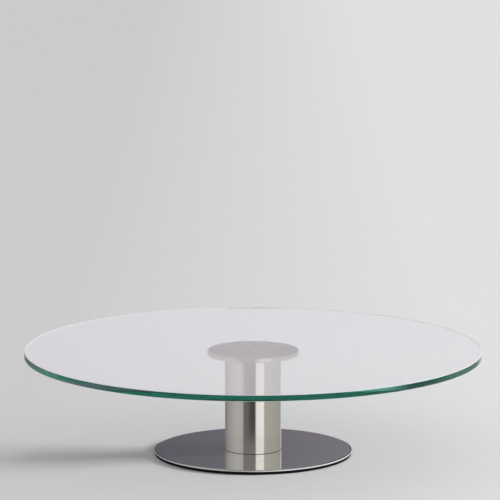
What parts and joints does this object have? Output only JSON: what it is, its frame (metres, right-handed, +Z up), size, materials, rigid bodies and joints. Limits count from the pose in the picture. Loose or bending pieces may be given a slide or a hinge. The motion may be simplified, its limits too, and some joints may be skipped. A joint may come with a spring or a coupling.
{
  "type": "cake turntable",
  "caption": "Round clear glass plate that spins on ball bearings at the top of a brushed steel column, standing on a thin round polished steel base with a black non-slip pad.",
  "frame": {"origin": "centre of the base pad's underside, on the spin axis", "axes": "+Z up along the spin axis; X and Y lie in the table's plane, and one base screw is on +X"},
  "size_m": [0.3, 0.3, 0.07],
  "materials": {
    "plate_glass": "clear toughened float glass with a ground and polished edge, green seen edge-on",
    "clear_adhesive": "clear cured adhesive film",
    "turned_steel": "stainless steel, turned on a lathe",
    "ground_steel": "ground steel shaft",
    "zinc_steel": "bright zinc-plated steel",
    "turned_aluminium": "turned aluminium",
    "brushed_steel": "satin stainless steel brushed round the tube",
    "polished_steel": "polished stainless steel that mirrors the column",
    "black_foam": "dense black foam rubber",
    "bearing_steel": "hardened and ground bearing steel",
    "cage_nylon": "natural nylon"
  },
  "bodies": {
    "pedestal": {"base_pad": "black_foam", "base_plate": "polished_steel", "base_screws": "zinc_steel", "foot_plug": "turned_steel", "column_tube": "brushed_steel", "bearing_housing": "turned_aluminium", "upper_outer_race": "bearing_steel", "upper_shields": "bearing_steel", "lower_outer_race": "bearing_steel", "lower_shields": "bearing_steel"},
    "plate": {"glass_plate": "plate_glass", "bond_film": "clear_adhesive", "mounting_disc": "turned_steel", "spindle": "ground_steel", "bearing_spacer": "turned_steel", "spindle_washer": "zinc_steel", "spindle_screw": "zinc_steel", "upper_inner_race": "bearing_steel", "lower_inner_race": "bearing_steel"},
    "upper_ball_set": {"upper_balls": "bearing_steel", "upper_cage": "cage_nylon"},
    "lower_ball_set": {"lower_balls": "bearing_steel", "lower_cage": "cage_nylon"}
  },
  "joints": [
    {"name": "plate_spin", "type": "hinge", "parent": "pedestal", "child": "plate", "pos_m": [0, 0, 0.0587], "axis": [0, 0, 1], "continuous": true},
    {"name": "upper_balls_orbit", "type": "hinge", "parent": "pedestal", "child": "upper_ball_set", "pos_m": [0, 0, 0.0552], "axis": [0, 0, 1], "continuous": true},
    {"name": "lower_balls_orbit", "type": "hinge", "parent": "pedestal", "child": "lower_ball_set", "pos_m": [0, 0, 0.0422], "axis": [0, 0, 1], "continuous": true}
  ],
  "couplings": [
    {"joint": "upper_balls_orbit", "follows": "plate_spin", "ratio": 0.3677},
    {"joint": "lower_balls_orbit", "follows": "plate_spin", "ratio": 0.3677}
  ]
}
